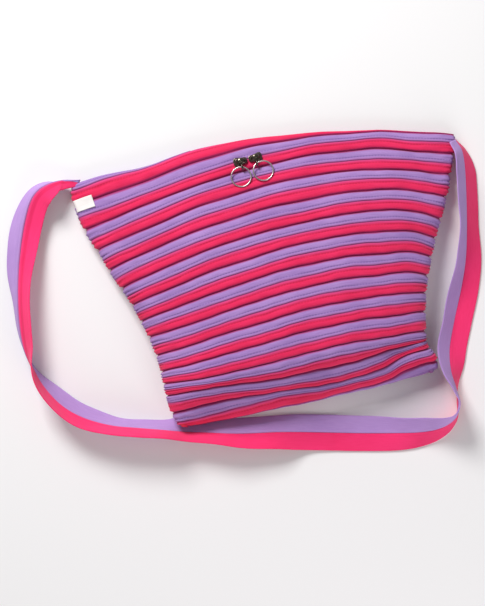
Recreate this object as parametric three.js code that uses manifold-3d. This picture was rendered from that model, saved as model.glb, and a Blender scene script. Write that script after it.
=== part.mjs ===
// A crossbody sling bag made of one long two-colour zip chain. The chain is wound in a spiral round
// a flattened, tapering pouch, each turn sewn to the next along the tape edges, and the same chain
// left flat is the shoulder strap. The bag lies on its back on z = 0, its front facing +Z, its mouth
// towards +Y. All sizes are in millimetres.
import * as THREE from "three";
import { mergeVertices } from "three/addons/utils/BufferGeometryUtils.js";
import Module from "manifold-3d";

// Zip chain
const TAPE_WALL = 1.6; // doubled tape of the pouch wall
const RIB_RISE = 2.5; // how far the middle of a turn stands proud of its sewn edges
const SEAM_GAP = 0.5; // clearance between tapes that are sewn or zipped together
const TURN_PITCH = 19.3; // one whole turn across, both tapes
const TURN_COUNT = 15;
const TAPER_TIP = 1.2; // width left at the tip of a tape that is trimmed to a point
const FLOOR_WALL = 1; // wall left where the back is pressed flat on the floor

// Pouch
const LOOP_STEPS = 24; // facets round the pouch
const BACK_ROUND = 6; // exponent of the back across the bag, flat nearly to its side edges
const END_FADE = 0.035; // share of the wall over which the ribs die away at the top and bottom seams
const TURN_CUT = 0.00024; // share of the way round left open where a solid starts and ends
const FRONT_MIDDLE = 0.25; // places round the pouch where the turns are cut into solids
const BACK_MIDDLE = 0.75;
const SPLIT_TURNS = { first: 1, last: 11 }; // turns whose left and right halves are solids of their own
const SAG = { x: -108, depth: 5.4, width: 38, reach: 0.16 }; // slack in the top seam near its left end

// Shoulder strap
const STRAP_TAPE = 16.2; // width of one tape, seam to edge
const STRAP_THICK = 1.3;
const STRAP_STEPS = 60;
const STRAP_CUT = { slope: 0.8, reach: 20 }; // its first end is cut on the slant of the bag's corner
const FLOOR_CLEAR = 0.1;

// Zip pulls: two sliders meet near the middle of the mouth, nose to nose, each with a loose ring
const ZIP_LEVEL = 1.55; // the mouth is the zip in the middle of the second turn, the sliders tip down a little
const SLIDER_LENGTH = 12.5;
const SLIDER_WIDTH = 8.6; // at its tail
const SLIDER_NOSE = 0.72; // width of the nose end against the tail
const SLIDER_THICK = 2.4;
const SLIDER_BEVEL = 0.4;
const CROWN_LENGTH = 7.8;
const CROWN_WIDTH = 2.6;
const CROWN_HEIGHT = 5.2;
const CROWN_WALL = 1.1;
const EYE_RADIUS = 2.5;
const EYE_WIRE = 0.65;
const EYE_DROP = 6; // from the middle of the slider down to the eye's centre
const EYE_LIFT = 2.9;
const RING_RADIUS = 8.9; // to the middle of the wire
const RING_WIRE = 0.8;
const RING_CLEAR = 1.9; // height of the ring's far side over the ribs
const PULLS = [
  { side: "left", round: 0.2327, mirror: 1, ringSwing: -0.38 },
  { side: "right", round: 0.2455, mirror: -1, ringSwing: 0.44 },
];

// Side label
const LABEL_THICK = 0.7;
const LABEL_LIFT = 0.35;
const LABEL = { from: 0.004, to: 0.0675, top: 0.855, bottom: 1.27 };

const COLOURS = {
  purple: { color: 0xab88d3, roughness: 0.8, metalness: 0 },
  pink: { color: 0xf8386f, roughness: 0.8, metalness: 0 },
  gunmetal: { color: 0x2c2824, roughness: 0.3, metalness: 1 },
  steel: { color: 0xc9c4c6, roughness: 0.22, metalness: 1 },
  white: { color: 0xf1ece8, roughness: 0.85, metalness: 0 },
};

// Sections of the pouch, from the top seam to the bottom seam. share: part of the wall's length gone
// down. left, right: the side edges, x and y. middle: y on the centre line. front, back, edge: heights
// of the bare wall over the floor at the centre of the front, of the back and at the side edges.
// round: exponent of the front's dome across the bag, higher where it is flatter.
const SECTION_TABLE = [
  ["share", "leftX", "leftY", "middle", "rightX", "rightY", "front", "back", "edge", "round"],
  [0.0, -166, 109.5, 124.2, 173.2, 102, 6, 4.4, 5.2, 6],
  [0.04, -171.9, 100.5, 113.6, 171.4, 92.5, 8.6, 4, 6.4, 4],
  [0.1, -169, 80, 98, 166, 79, 12, 3.4, 8, 2.8],
  [0.25, -151, 34, 62, 155, 46, 23, 3.2, 11, 2.4],
  [0.45, -129, -16, 9, 136, 2, 35, 3.2, 14, 2.4],
  [0.65, -116, -61, -43, 122.5, -43, 43, 3.2, 17, 2.4],
  [0.78, -114, -86, -75.5, 118.5, -73, 44, 3.2, 19, 2.4],
  [0.85, -113, -97, -92, 121.5, -87, 34.5, 3.3, 18, 2.6],
  [0.925, -110, -111, -105.5, 125, -96, 22, 4, 16, 3.4],
  [0.965, -107, -118, -113, 125, -101.5, 15, 6.5, 14.5, 4.6],
  [1.0, -101, -123.5, -116, 120, -107.5, 9.8, 7.6, 12.5, 6],
];
const SECTIONS = named(SECTION_TABLE);

// Which turn of the chain meets the top and the bottom seam at the left edge, the middle and the
// right edge of the front. Going on round the back to the left edge, both gain the rest of one turn.
const TOP_TURN = { left: 0.1, middle: 0.67, right: 0.95 };
const BOTTOM_TURN = { left: 14, middle: 14, right: 14 };

// How unevenly the turns lie. even: place down the wall if all were alike. The other columns: how much
// further down it is, as a share of the wall, at WIND_SIDES from the left edge (-1) to the right one (1).
const WIND_SIDES = [-1, -0.8, -0.3, 0.3, 0.8, 1];
const WIND_TABLE = [
  ["even", "leftEdge", "left", "midLeft", "midRight", "right", "rightEdge"],
  [0, 0, 0, 0, 0, 0, 0],
  [0.06, 0.0096, 0.0166, 0.0125, -0.0134, -0.0118, -0.001],
  [0.15, 0.0051, 0.0135, 0.0101, -0.0088, -0.0077, 0.0025],
  [0.27, -0.0063, 0.0024, 0.0106, 0.0057, -0.003, 0.0116],
  [0.4, -0.0126, -0.0024, 0.0062, 0.0026, -0.0055, 0.0065],
  [0.55, -0.0198, -0.0061, 0.0031, -0.0005, -0.0056, -0.002],
  [0.7, -0.0197, -0.0008, 0.0055, -0.0029, -0.0079, -0.0074],
  [0.8, -0.0283, -0.0206, -0.0039, -0.0097, -0.0135, -0.0055],
  [0.88, -0.0275, -0.0402, -0.0219, -0.0168, -0.0157, 0.0011],
  [0.95, -0.0123, -0.025, -0.0239, -0.023, -0.0065, 0.0053],
  [1, 0, 0, 0, 0, 0, 0],
];
const WIND = named(WIND_TABLE);

// Half of a turn's profile, from its sewn edge to the zip: distance in turns, and share of the rise.
const RIB_PROFILE = [
  { across: 0, rise: 0 },
  { across: 0.055, rise: 0.64 },
  { across: 0.17, rise: 0.95 },
  { across: 0.5, rise: 1.1 },
];
const RIB_CREST = RIB_PROFILE.at(-1).rise;
const RIB_INSIDE = [0.5, 0.15, 0]; // the same distances for the smoother inside

// The strap's seam from the top left corner round to the top right one. x, y: its place. purple, pink:
// where each tape points, in degrees, from the inner side of the loop (0) over straight up (90) to the
// outer side (180) and on. width: share of the tape's width left, less than 1 where it is pleated into
// the corner of the bag. lift: height over the lie that its lower edge has on the floor.
const STRAP_TABLE = [
  ["x", "y", "purple", "pink", "width", "lift"],
  [-167.6, 111.3, 335, 16, 0.62, 4.5],
  [-181, 113.4, 300, 28, 0.9, 1],
  [-193, 112, 262, 20, 1, 0],
  [-206.5, 104.2, 236, 4, 1, 0],
  [-219, 82.5, 221, 3, 1, 0],
  [-229.5, 48, 217, 24, 1, 0],
  [-235.5, 12, 240, 46, 1, 0],
  [-237.5, -15, 256, 47, 1, 0],
  [-236.5, -33, 263, 58, 1, 0],
  [-232, -50, 271, 86, 1, 0],
  [-225, -68, 292, 100, 1, 0],
  [-212, -87.5, 309, 111, 1, 0],
  [-196, -100.5, 311, 119, 1, 0],
  [-171, -112, 302, 119, 1, 0],
  [-145, -118.5, 295, 113, 1, 0],
  [-122, -124, 303, 111, 1, 0],
  [-105, -128.5, 337, 113, 1, 0],
  [-88, -131.5, 336, 119, 1, 0],
  [-57, -137, 330, 138, 1, 0],
  [-21, -141, 336, 157, 1, 0],
  [15, -147, 357, 178, 1, 0],
  [50, -153, 369, 182, 1, 0],
  [86, -158, 384, 194, 1, 0],
  [104, -159.5, 392, 208, 1, 0],
  [118, -159, 405, 224, 1, 0],
  [129, -156, 420, 240, 1, 0],
  [137.5, -150, 437, 255, 1, 0],
  [142.4, -138, 448, 268, 1, 0],
  [141, -124, 437, 256, 1, 0],
  [139.6, -109, 416, 224, 1, 0],
  [142, -90, 401, 194, 1, 0],
  [150, -66, 404, 183, 1, 0],
  [160.5, -38, 406, 183, 1, 0],
  [168, -12, 414, 204, 1, 0],
  [173, 19, 420, 221, 1, 0],
  [176.5, 46, 417, 223, 1, 0],
  [178.5, 66, 416, 224, 1, 0],
  [179, 78, 418, 227, 0.86, 0.5],
  [178, 86.5, 420, 232, 0.68, 1],
  [174.9, 92.2, 420, 234, 0.56, 1.5],
];
const STRAP_ROUTE = named(STRAP_TABLE);

const wasm = await Module();
wasm.setup();

// A table's rows as objects, keyed by the names in its first row.
function named([names, ...rows]) {
  return rows.map((row) => Object.fromEntries(names.map((name, i) => [name, row[i]])));
}

// A smooth curve through each named column of a table, read at any place along it.
function smoothTable(rows, places, columns) {
  const values = rows.flatMap((row) => columns.map((column) => row[column]));
  const curve = new THREE.CubicInterpolant(places, values, columns.length);
  return (place) => {
    const found = curve.evaluate(place);
    return Object.fromEntries(columns.map((column, i) => [column, found[i]]));
  };
}

const sectionAt = smoothTable(
  SECTIONS,
  SECTIONS.map((row) => row.share),
  SECTION_TABLE[0].slice(1),
);
const windAt = smoothTable(
  WIND,
  WIND.map((row) => row.even),
  WIND_TABLE[0].slice(1),
);

// The value at side (-1 left, 0 middle, 1 right) of the parabola through three values.
function across(left, middle, right, side) {
  return middle + (side * (right - left)) / 2 + side * side * ((left + right) / 2 - middle);
}

// Round the pouch: 0 and 1 are the left edge, 0.25 the front's middle, 0.5 the right edge, 0.75 the back's.
function sideOf(round) {
  return -Math.cos(2 * Math.PI * round);
}

function wallPoint(round, share) {
  const row = sectionAt(share);
  const side = sideOf(round);
  const onFront = Math.sin(2 * Math.PI * round) >= 0;
  const reach = onFront ? row.front - row.edge : row.back - row.edge;
  const power = onFront ? row.round : BACK_ROUND;
  const dome = Math.sqrt(Math.max(0, 1 - Math.abs(side) ** power));
  const x = (row.leftX + row.rightX) / 2 + (side * (row.rightX - row.leftX)) / 2;
  const near = Math.exp(-(((x - SAG.x) / SAG.width) ** 2));
  const slack = SAG.depth * near * Math.max(0, 1 - share / SAG.reach) ** 2;
  return new THREE.Vector3(
    x,
    across(row.leftY, row.middle, row.rightY, side) - slack,
    row.edge + reach * dome,
  );
}

function wallNormal(round, share) {
  const step = 0.002;
  const above = Math.max(0, share - step);
  const below = Math.min(1, share + step);
  const alongLoop = wallPoint(round + step, share).sub(wallPoint(round - step, share));
  const downWall = wallPoint(round, below).sub(wallPoint(round, above));
  return downWall.cross(alongLoop).normalize();
}

// The turn of the chain at the top or bottom seam, which climbs by one over the whole way round.
function turnAtSeam(seam, round) {
  const side = sideOf(round);
  if (round <= 0.5) return across(seam.left, seam.middle, seam.right, side);
  return THREE.MathUtils.mapLinear(side, 1, -1, seam.right, seam.left + 1);
}

function shareOfTurn(round, turn) {
  const top = turnAtSeam(TOP_TURN, round);
  const bottom = turnAtSeam(BOTTOM_TURN, round);
  const even = THREE.MathUtils.clamp((turn - top) / (bottom - top), 0, 1);
  const acrossBag = new THREE.CubicInterpolant(WIND_SIDES, Object.values(windAt(even)), 1);
  return THREE.MathUtils.clamp(even + acrossBag.evaluate(sideOf(round))[0], 0, 1);
}

// Share of the full rise at a distance from the sewn edge, dying away at the top and bottom seams.
function ribRise(distance, share) {
  const last = RIB_PROFILE.findIndex((row) => row.across >= distance - 1e-9);
  const [a, b] = [RIB_PROFILE[Math.max(0, last - 1)], RIB_PROFILE[last]];
  const rise = a === b ? b.rise : THREE.MathUtils.mapLinear(distance, a.across, b.across, a.rise, b.rise);
  const fade = Math.min(1, share / END_FADE, (1 - share) / END_FADE);
  return RIB_RISE * rise * Math.sqrt(Math.max(0, fade));
}

function skinPoint(round, turn, offset) {
  const share = shareOfTurn(round, turn);
  const part = turn - Math.floor(turn);
  const rise = ribRise(Math.min(part, 1 - part), share);
  const point = wallPoint(round, share);
  point.addScaledVector(wallNormal(round, share), rise + offset);
  return point;
}

// The same on the facets between the loop's stations, so that neighbouring tapes share their edges.
function facetPoint(round, turn, offset) {
  const step = Math.min(LOOP_STEPS - 1, Math.floor(round * LOOP_STEPS));
  const before = skinPoint(step / LOOP_STEPS, turn, offset);
  const after = skinPoint((step + 1) / LOOP_STEPS, turn, offset);
  return before.lerp(after, round * LOOP_STEPS - step);
}

// A closed solid through rings of points, all with the same count, capped at both ends by triangles that
// go to and fro between the ring's first half and its second.
function loft(rings) {
  const count = rings[0].length;
  const positions = rings.flat().flatMap((p) => [p.x, p.y, p.z]);
  const faces = [];
  for (let i = 0; i + 1 < rings.length; i++) {
    for (let j = 0; j < count; j++) {
      const a = i * count + j;
      const b = i * count + ((j + 1) % count);
      faces.push(a, b, a + count, b, b + count, a + count);
    }
  }
  const end = (rings.length - 1) * count;
  let [low, high] = [0, count - 1];
  while (high - low > 1) {
    const next = low + high < count ? low + 1 : high - 1;
    faces.push(low, high, next, end + low, end + next, end + high);
    if (next === low + 1) low = next;
    else high = next;
  }
  const geometry = new THREE.BufferGeometry();
  geometry.setAttribute("position", new THREE.Float32BufferAttribute(positions, 3));
  geometry.setIndex(faces);
  return geometry;
}

// One tape over one turn, or over its left or right half: purple from the sewn edge to the zip, pink from
// the zip to the next sewn edge. Where the top or bottom seam crosses it, it tapers to a tip, and beyond
// the seams there is none. A place less than 0 round the pouch is on the end of the turn below, which runs
// on into this one.
function tapeTurn(turn, isPurple, start, stop) {
  const inset = SEAM_GAP / 2 / TURN_PITCH;
  const tip = TAPER_TIP / TURN_PITCH;
  const wrapped = (round) => (round < 0 ? { round: round + 1, behind: 1 } : { round, behind: 0 });
  const span = (place) => {
    const { round, behind } = wrapped(place);
    const first = turn + behind + (isPurple ? 0 : 0.5);
    return [
      Math.max(first + inset, turnAtSeam(TOP_TURN, round)),
      Math.min(first + 0.5 - inset, turnAtSeam(BOTTOM_TURN, round)),
    ];
  };
  const width = (place) => span(place)[1] - span(place)[0];
  const stations = [start + TURN_CUT];
  for (let i = Math.floor(start * LOOP_STEPS) + 1; i < stop * LOOP_STEPS; i++) stations.push(i / LOOP_STEPS);
  stations.push(stop - TURN_CUT);
  const rounds = [];
  stations.forEach((round, i) => {
    const before = stations[i - 1];
    if (i && (width(before) > tip) !== (width(round) > tip)) {
      let [low, high] = [before, round];
      for (let n = 0; n < 30; n++) {
        const half = (low + high) / 2;
        if ((width(half) > tip) === (width(before) > tip)) low = half;
        else high = half;
      }
      rounds.push(width(before) > tip ? low : high);
    }
    if (width(round) > tip) rounds.push(round);
  });
  const places = (list) => (isPurple ? list : list.map((d) => 0.5 - d).reverse());
  const outer = places(RIB_PROFILE.map((row) => row.across));
  const inner = places([...RIB_INSIDE].reverse()).reverse();
  const rings = rounds.map((place) => {
    const [from, to] = span(place);
    const at = (d, offset) => facetPoint(wrapped(place).round, from + (to - from) * 2 * d, offset);
    const outside = outer.map((d) => at(d, TAPE_WALL));
    outside.forEach((p) => (p.z = Math.max(p.z, 0)));
    const inside = inner.map((d) => at(d, 0));
    inside.forEach((p) => (p.z = Math.max(p.z, FLOOR_WALL)));
    return [...outside, ...inside];
  });
  return rings.length ? loft(rings) : null;
}

// The strap: both tapes hang on one seam and hinge about it.
const strapSpots = STRAP_ROUTE.map((_, i) => i);
const strapLie = smoothTable(STRAP_ROUTE, strapSpots, ["purple", "pink", "width", "lift"]);
const strapPlan = new THREE.CatmullRomCurve3(STRAP_ROUTE.map((row) => new THREE.Vector3(row.x, row.y, 0)));

function strapTape(isPurple) {
  const last = STRAP_ROUTE.length - 1;
  const rings = [];
  for (let i = 0; i <= STRAP_STEPS; i++) {
    const along = strapPlan.getUtoTmapping(i / STRAP_STEPS);
    const { purple, pink, width, lift } = strapLie(along * last);
    const tape = STRAP_TAPE * width;
    const angles = [purple, pink].map(THREE.MathUtils.degToRad);
    const drops = angles.map((a) => STRAP_THICK * 0.5 * Math.abs(Math.cos(a)) - tape * Math.sin(a));
    const seam = strapPlan.getPoint(along);
    seam.z = FLOOR_CLEAR + lift + Math.max(STRAP_THICK * 0.5, ...drops);
    const ahead = strapPlan.getTangent(along);
    const inward = new THREE.Vector3(0, 0, 1).cross(ahead).normalize();
    const angle = angles[isPurple ? 0 : 1];
    const travelled = (i / STRAP_STEPS) * strapPlan.getLength();
    const slant = STRAP_CUT.slope * Math.max(0, 1 - travelled / STRAP_CUT.reach);
    const reach = inward.clone().multiplyScalar(Math.cos(angle)).setZ(Math.sin(angle));
    reach.addScaledVector(ahead, slant);
    const face = inward.clone().multiplyScalar(-Math.sin(angle)).setZ(Math.cos(angle));
    const fold = Math.acos(Math.cos(angles[1] - angles[0])) / 2;
    const start = SEAM_GAP / 2 + (STRAP_THICK * 0.5) / Math.tan(fold);
    const corner = (out, side) =>
      seam.clone().addScaledVector(reach, out).addScaledVector(face, (side * STRAP_THICK) / 2);
    rings.push([corner(start, -1), corner(tape, -1), corner(tape, 1), corner(start, 1)]);
  }
  return loft(rings);
}

// Solids that are joined: any closed geometry, in place.
function toSolid(geometry, matrix = new THREE.Matrix4()) {
  const bare = new THREE.BufferGeometry();
  bare.setAttribute("position", geometry.getAttribute("position").clone());
  bare.setIndex(geometry.index);
  const merged = mergeVertices(bare.applyMatrix4(matrix), 1e-4);
  return new wasm.Manifold(
    new wasm.Mesh({
      numProp: 3,
      vertProperties: merged.attributes.position.array,
      triVerts: new Uint32Array(merged.index.array),
    }),
  );
}

function toGeometry(solid) {
  const mesh = solid.getMesh();
  const geometry = new THREE.BufferGeometry();
  geometry.setAttribute("position", new THREE.BufferAttribute(mesh.vertProperties, 3));
  geometry.setIndex(new THREE.BufferAttribute(mesh.triVerts, 1));
  return geometry;
}

// A slider, its length along x, its underside on z = 0: a waisted plate, a raised crown and an eye.
function sliderGeometry() {
  const end = SLIDER_LENGTH / 2;
  const tail = SLIDER_WIDTH / 2;
  const nose = tail * SLIDER_NOSE;
  const outline = new THREE.Shape();
  outline.moveTo(-end, 0);
  outline.quadraticCurveTo(-end, tail, -end / 2, tail);
  outline.lineTo(end / 2, nose);
  outline.quadraticCurveTo(end, nose, end, 0);
  outline.quadraticCurveTo(end, -nose, end / 2, -nose);
  outline.lineTo(-end / 2, -tail);
  outline.quadraticCurveTo(-end, -tail, -end, 0);
  const plate = new THREE.ExtrudeGeometry(outline, {
    depth: SLIDER_THICK - 2 * SLIDER_BEVEL,
    bevelThickness: SLIDER_BEVEL,
    bevelSize: SLIDER_BEVEL,
    bevelOffset: -SLIDER_BEVEL,
    bevelSegments: 1,
    curveSegments: 4,
  });
  const foot = CROWN_LENGTH / 2;
  const arch = new THREE.Shape();
  arch.moveTo(-foot, 0);
  arch.lineTo(foot, 0);
  arch.quadraticCurveTo(foot, CROWN_HEIGHT, 0, CROWN_HEIGHT);
  arch.quadraticCurveTo(-foot, CROWN_HEIGHT, -foot, 0);
  const slot = new THREE.Path();
  slot.moveTo(-foot / 2, SLIDER_THICK);
  slot.lineTo(foot / 2, SLIDER_THICK);
  slot.lineTo(foot / 3, CROWN_HEIGHT - CROWN_WALL);
  slot.lineTo(-foot / 3, CROWN_HEIGHT - CROWN_WALL);
  arch.holes.push(slot);
  const crown = new THREE.ExtrudeGeometry(arch, { depth: CROWN_WIDTH, bevelEnabled: false, curveSegments: 5 });
  const eye = new THREE.TorusGeometry(EYE_RADIUS, EYE_WIRE, 6, 12);
  const platePlace = new THREE.Matrix4().makeTranslation(0, 0, SLIDER_BEVEL);
  const crownPlace = new THREE.Matrix4().makeRotationX(Math.PI / 2);
  crownPlace.setPosition(0, CROWN_WIDTH / 2, SLIDER_BEVEL);
  const eyePlace = new THREE.Matrix4().makeRotationY(Math.PI / 2).setPosition(0, -EYE_DROP, EYE_LIFT);
  return toGeometry(toSolid(plate, platePlace).add(toSolid(crown, crownPlace)).add(toSolid(eye, eyePlace)));
}

// A frame on the front of the bag at a zip: x along the turn, z out of the wall.
function zipFrame(round) {
  const origin = skinPoint(round, ZIP_LEVEL, TAPE_WALL);
  const ahead = skinPoint(round + 0.004, ZIP_LEVEL, TAPE_WALL).sub(origin).normalize();
  const out = wallNormal(round, shareOfTurn(round, ZIP_LEVEL));
  const up = out.clone().cross(ahead).normalize();
  return new THREE.Matrix4().makeBasis(up.clone().cross(out), up, out).setPosition(origin);
}

const bag = new THREE.Group();

function add(name, geometry, finish) {
  const flat = geometry.index ? geometry.toNonIndexed() : geometry;
  flat.computeVertexNormals();
  const mesh = new THREE.Mesh(flat, new THREE.MeshStandardMaterial({ ...COLOURS[finish] }));
  mesh.name = name;
  bag.add(mesh);
  return mesh;
}

for (let turn = 0; turn < TURN_COUNT; turn++) {
  const number = String(turn + 1).padStart(2, "0");
  for (const colour of ["purple", "pink"]) {
    const addWall = (half, start, stop) => {
      const wall = tapeTurn(turn, colour === "purple", start, stop);
      if (wall) add(`${colour}_tape_turn_${number}${half}`, wall, colour);
    };
    if (turn < SPLIT_TURNS.first || turn > SPLIT_TURNS.last) {
      addWall("", BACK_MIDDLE - 1, BACK_MIDDLE);
    } else {
      addWall("_left", BACK_MIDDLE - 1, FRONT_MIDDLE);
      addWall("_right", FRONT_MIDDLE, BACK_MIDDLE);
    }
  }
}

add("strap_purple_tape", strapTape(true), "purple");
add("strap_pink_tape", strapTape(false), "pink");

for (const pull of PULLS) {
  const seat = zipFrame(pull.round);
  const lift = new THREE.Matrix4().makeScale(pull.mirror, 1, 1).setPosition(0, 0, SEAM_GAP);
  const slider = add(`zip_slider_${pull.side}`, sliderGeometry(), "gunmetal");
  slider.applyMatrix4(seat.clone().multiply(lift));
  const ring = add(`pull_ring_${pull.side}`, new THREE.TorusGeometry(RING_RADIUS, RING_WIRE, 6, 20), "steel");
  const fall = Math.asin((EYE_LIFT + SEAM_GAP - RING_CLEAR) / (2 * RING_RADIUS));
  const hang = new THREE.Matrix4().makeTranslation(0, -EYE_DROP, EYE_LIFT + SEAM_GAP);
  hang.multiply(new THREE.Matrix4().makeRotationZ(pull.ringSwing));
  hang.multiply(new THREE.Matrix4().makeRotationX(fall));
  hang.multiply(new THREE.Matrix4().makeTranslation(0, -RING_RADIUS, 0));
  ring.applyMatrix4(seat.clone().multiply(hang));
}

// The side label lies over the seam between the first two turns, from the bag's left edge inwards.
function labelGeometry() {
  const [columns, rows] = [5, 3];
  const rings = [];
  for (let i = 0; i <= columns; i++) {
    const round = THREE.MathUtils.lerp(LABEL.from, LABEL.to, i / columns);
    const at = (j, offset) => {
      const turn = THREE.MathUtils.lerp(LABEL.top, LABEL.bottom, j / rows);
      const share = shareOfTurn(round, turn);
      const point = wallPoint(round, share);
      return point.addScaledVector(wallNormal(round, share), offset);
    };
    const under = TAPE_WALL + RIB_RISE * RIB_CREST + LABEL_LIFT;
    const ring = [];
    for (let j = 0; j <= rows; j++) ring.push(at(j, under + LABEL_THICK));
    for (let j = rows; j >= 0; j--) ring.push(at(j, under));
    rings.push(ring);
  }
  return loft(rings);
}
add("side_label", labelGeometry(), "white");

export default bag;
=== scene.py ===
import math

import bpy
import numpy as np
from mathutils import Matrix, Vector


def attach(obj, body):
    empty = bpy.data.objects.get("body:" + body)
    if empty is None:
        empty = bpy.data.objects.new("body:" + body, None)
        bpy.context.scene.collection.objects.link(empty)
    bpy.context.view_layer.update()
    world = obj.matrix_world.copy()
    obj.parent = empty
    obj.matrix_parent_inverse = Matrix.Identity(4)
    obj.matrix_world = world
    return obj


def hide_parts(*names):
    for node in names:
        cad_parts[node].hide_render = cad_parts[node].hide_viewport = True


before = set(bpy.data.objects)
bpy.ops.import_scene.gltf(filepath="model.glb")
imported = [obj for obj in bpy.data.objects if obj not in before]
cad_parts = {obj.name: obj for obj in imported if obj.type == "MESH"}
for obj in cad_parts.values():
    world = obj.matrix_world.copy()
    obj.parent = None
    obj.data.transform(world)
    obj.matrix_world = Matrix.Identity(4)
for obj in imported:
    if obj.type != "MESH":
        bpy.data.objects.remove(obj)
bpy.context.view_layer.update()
scene = bpy.context.scene

# Camera
# It hangs straight over the bag, which lies on its back, and is turned a little, so that the bag leans to
# the left in the picture.
CAMERA_PLACE = (-0.03687, -0.02069, 1.5)
CAMERA_TURN = math.radians(-8.5)
VIEW_HEIGHT = 0.5454  # height of the picture at the middle of the bag's depth
VIEW_DISTANCE = 1.488
SENSOR_HEIGHT = 24
camera_data = bpy.data.cameras.new("camera")
camera_data.sensor_fit = "VERTICAL"
camera_data.sensor_height = SENSOR_HEIGHT
camera_data.lens = SENSOR_HEIGHT * VIEW_DISTANCE / VIEW_HEIGHT
camera = bpy.data.objects.new("camera", camera_data)
camera.location = CAMERA_PLACE
camera.rotation_euler = (0, 0, CAMERA_TURN)
scene.collection.objects.link(camera)
scene.camera = camera
scene.view_settings.view_transform = "Standard"

# Shoulder strap
# The strap is the bag's own zip chain left flat: a lavender and a hot pink nylon tape, each woven 16 mm
# wide, joined along the middle by the closed coil. It leaves the top left corner, where it is pleated
# into the seam, lies loose round the bag and goes back into the top right corner.
MM = 0.001
STRAP_TAPE = 16.2
STRAP_HALF = 0.65  # half of the tape's thickness, as it lies on the floor
STRAP_ROWS = 620
STRAP_TUCK = 2.5  # how far each end goes on into the corner of the bag
LEAST_WIDTH = 0.35  # share of the width that the pleats leave at the least
FLOOR_CLEAR = 0.1  # gap between the strap's lie and the floor
LOWEST = 0.05  # no point of the strap lies lower
# x and y of the seam, where the purple and the pink tape point (0 to the inner side of the loop, 90 up,
# 180 to the outer side), share of the width left by the pleats, and lift over the lie on the floor
STRAP_ROUTE = np.array([
    [-167.6, 111.3, 335, 16, 0.4, 4.5], [-181, 112.2, 283, 34, 0.62, 1], [-193.4, 110.4, 256, 24, 0.91, 0],
    [-202, 107, 245, 12, 1, 0], [-209.2, 101, 236, 5, 1, 0], [-219, 82.5, 221, 3, 1, 0],
    [-229.5, 48, 217, 24, 1, 0], [-235.5, 12, 240, 46, 1, 0], [-237.5, -15, 256, 47, 1, 0],
    [-236.5, -33, 263, 58, 1, 0], [-232, -50, 271, 86, 1, 0], [-225, -68, 292, 100, 1, 0],
    [-212, -87.5, 309, 111, 1, 0], [-196, -100.5, 311, 119, 1, 0], [-171, -112, 302, 119, 1, 0],
    [-145, -118.5, 295, 113, 1, 0], [-122, -124, 303, 111, 1, 0], [-105, -128.5, 337, 113, 1, 0],
    [-88, -131.5, 336, 119, 1, 0], [-57, -137, 330, 138, 1, 0], [-21, -141, 336, 157, 1, 0],
    [15, -147, 357, 178, 1, 0], [50, -153, 369, 182, 1, 0], [86, -158, 384, 194, 1, 0],
    [104, -159.5, 392, 208, 1, 0], [118, -159, 405, 224, 1, 0], [129, -156, 420, 240, 1, 0],
    [137.5, -150, 437, 255, 1, 0], [142.4, -138, 448, 268, 1, 0], [141, -124, 437, 256, 1, 0],
    [139.6, -109, 416, 224, 1, 0], [142, -90, 401, 194, 1, 0], [150, -66, 404, 183, 1, 0],
    [160.5, -38, 406, 183, 1, 0], [168, -12, 414, 204, 1, 0], [173, 19, 420, 221, 1, 0],
    [176.5, 46, 417, 223, 1, 0], [178.5, 66, 415, 226, 1, 0], [179, 78, 414, 234, 0.88, 0.5],
    [178.2, 87, 410, 247, 0.74, 1], [175.2, 94.2, 406, 257, 0.6, 1.5],
])
# Distance from the seam and half of the tape's thickness there: the coil under the edge, a woven line
# beside it, the flat tape and the selvedge
STRAP_SECTION = np.array([
    [0.1, 0.15], [0.35, 0.62], [0.9, 0.92], [1.7, 1.0], [2.5, 0.86], [2.95, 0.62], [3.25, 0.5], [3.6, 0.56],
    [5.2, 0.55], [7.4, 0.54], [9.6, 0.54], [11.8, 0.54], [13.6, 0.55], [14.7, 0.6], [15.5, 0.62],
    [15.95, 0.5], [16.2, 0.2],
])
COIL_REACH = 3  # distance from the seam that the coil takes up
COIL_HALF, PLAIN_HALF = 1.0, 0.66  # most that each face stands off the tape's middle
# Where the strap is folded along its coil: the angle between the tapes at which they lie shut, how much
# further they open before the coil has all its room, and what is left of the thickness when shut
FOLD_SHUT, FOLD_OPENS = 25, 70
SHUT_HALF, SHUT_COIL_SHARE = 0.5, 0.35
# Waves of the loose tapes: size in degrees, distance in which the wave turns by a radian, and its start
PURPLE_WAVES = [(2.6, 17, 0), (1.6, 7.3, 1)]
PINK_WAVES = [(2.4, 19, 2), (1.6, 8.1, 0)]
SWAY_FROM, SWAY_GROWS = 30, 60  # distance from an end where the waves begin, and in which they grow
CUP_DEPTH, CUP_LENGTH = 0.45, 31  # hollow across each tape that comes and goes along it
SLANT, SLANT_GONE = 0.8, 20  # lean of the weft at the first corner, and where it is gone
CREASE_AT, CREASE_WIDE, PINK_CREASE = 12.5, 0.4, 1.5  # the fold across the pink tape near that corner
UP = np.array([0.0, 0, 1])


def smooth(places, values, at):
    """A smooth curve through the rows of values, which stand at places, read at the numbers in at."""
    slope = np.diff(values, axis=0) / np.diff(places)[:, None]
    turn = np.concatenate([slope[:1], (slope[1:] + slope[:-1]) / 2, slope[-1:]])
    i = np.clip(np.searchsorted(places, at, side="right") - 1, 0, len(places) - 2)
    step = (places[i + 1] - places[i])[..., None]
    t = (at - places[i])[..., None] / step
    back = 1 - t
    return (
        values[i] * (1 + 2 * t) * back**2 + turn[i] * step * t * back**2
        + values[i + 1] * (3 - 2 * t) * t**2 - turn[i + 1] * step * back * t**2
    )


def travelled(points):
    """The way gone along a line of points, at each of them."""
    return np.concatenate([[0], np.cumsum(np.linalg.norm(np.diff(points, axis=0), axis=1))])


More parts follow.
